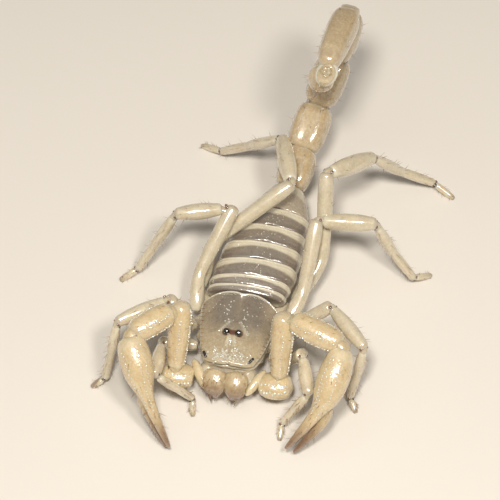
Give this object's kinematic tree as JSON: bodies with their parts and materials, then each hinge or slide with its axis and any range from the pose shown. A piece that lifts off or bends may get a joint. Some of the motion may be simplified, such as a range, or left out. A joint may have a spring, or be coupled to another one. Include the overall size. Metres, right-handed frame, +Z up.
{
  "type": "desert scorpion",
  "caption": "Life-size desert scorpion standing with its tail arched over its back and both pincers drawn in.",
  "frame": {"origin": "on the floor, under the middle of the animal's bounding box", "axes": "-Y the way the head faces, +X to the animal's left, +Z up from the floor it stands on"},
  "size_m": [0.0298, 0.0452, 0.0218],
  "materials": {
    "shield": "grey-brown behind, tan in front, finely granular, waxy gloss",
    "trunk": "grey-brown plates with cream hind margins, waxy gloss",
    "tail": "translucent tan, waxy gloss",
    "sting": "translucent tan bulb, brown point",
    "leg": "translucent ivory, waxy gloss",
    "pincer_arm": "translucent warm cream, finely beaded ridges",
    "jaw": "tan with brown pincers",
    "eye": "black, wet gloss"
  },
  "bodies": {
    "root": {"chelicera_left": "jaw", "chelicera_right": "jaw", "eye_left": "eye", "eye_right": "eye", "leg_1_left_femur": "leg", "leg_1_left_patella": "leg", "leg_1_left_tarsus": "leg", "leg_1_left_tibia": "leg", "leg_1_right_femur": "leg", "leg_1_right_patella": "leg", "leg_1_right_tarsus": "leg", "leg_1_right_tibia": "leg", "leg_2_left_femur": "leg", "leg_2_left_patella": "leg", "leg_2_left_tarsus": "leg", "leg_2_left_tibia": "leg", "leg_2_right_femur": "leg", "leg_2_right_patella": "leg", "leg_2_right_tarsus": "leg", "leg_2_right_tibia": "leg", "leg_3_left_femur": "leg", "leg_3_left_patella": "leg", "leg_3_left_tarsus": "leg", "leg_3_left_tibia": "leg", "leg_3_right_femur": "leg", "leg_3_right_patella": "leg", "leg_3_right_tarsus": "leg", "leg_3_right_tibia": "leg", "leg_4_left_femur": "leg", "leg_4_left_patella": "leg", "leg_4_left_tarsus": "leg", "leg_4_left_tibia": "leg", "leg_4_right_femur": "leg", "leg_4_right_patella": "leg", "leg_4_right_tarsus": "leg", "leg_4_right_tibia": "leg", "mesosoma_1": "trunk", "mesosoma_2": "trunk", "mesosoma_3": "trunk", "mesosoma_4": "trunk", "mesosoma_5": "trunk", "mesosoma_6": "trunk", "mesosoma_7": "trunk", "palp_left_femur": "pincer_arm", "palp_left_finger": "pincer_arm", "palp_left_hand": "pincer_arm", "palp_left_patella": "pincer_arm", "palp_left_trochanter": "pincer_arm", "palp_right_femur": "pincer_arm", "palp_right_finger": "pincer_arm", "palp_right_hand": "pincer_arm", "palp_right_patella": "pincer_arm", "palp_right_trochanter": "pincer_arm", "prosoma": "shield", "tail_1": "tail", "tail_2": "tail", "tail_3": "tail", "tail_4": "tail", "tail_5": "tail", "telson": "sting"}
  },
  "joints": []
}
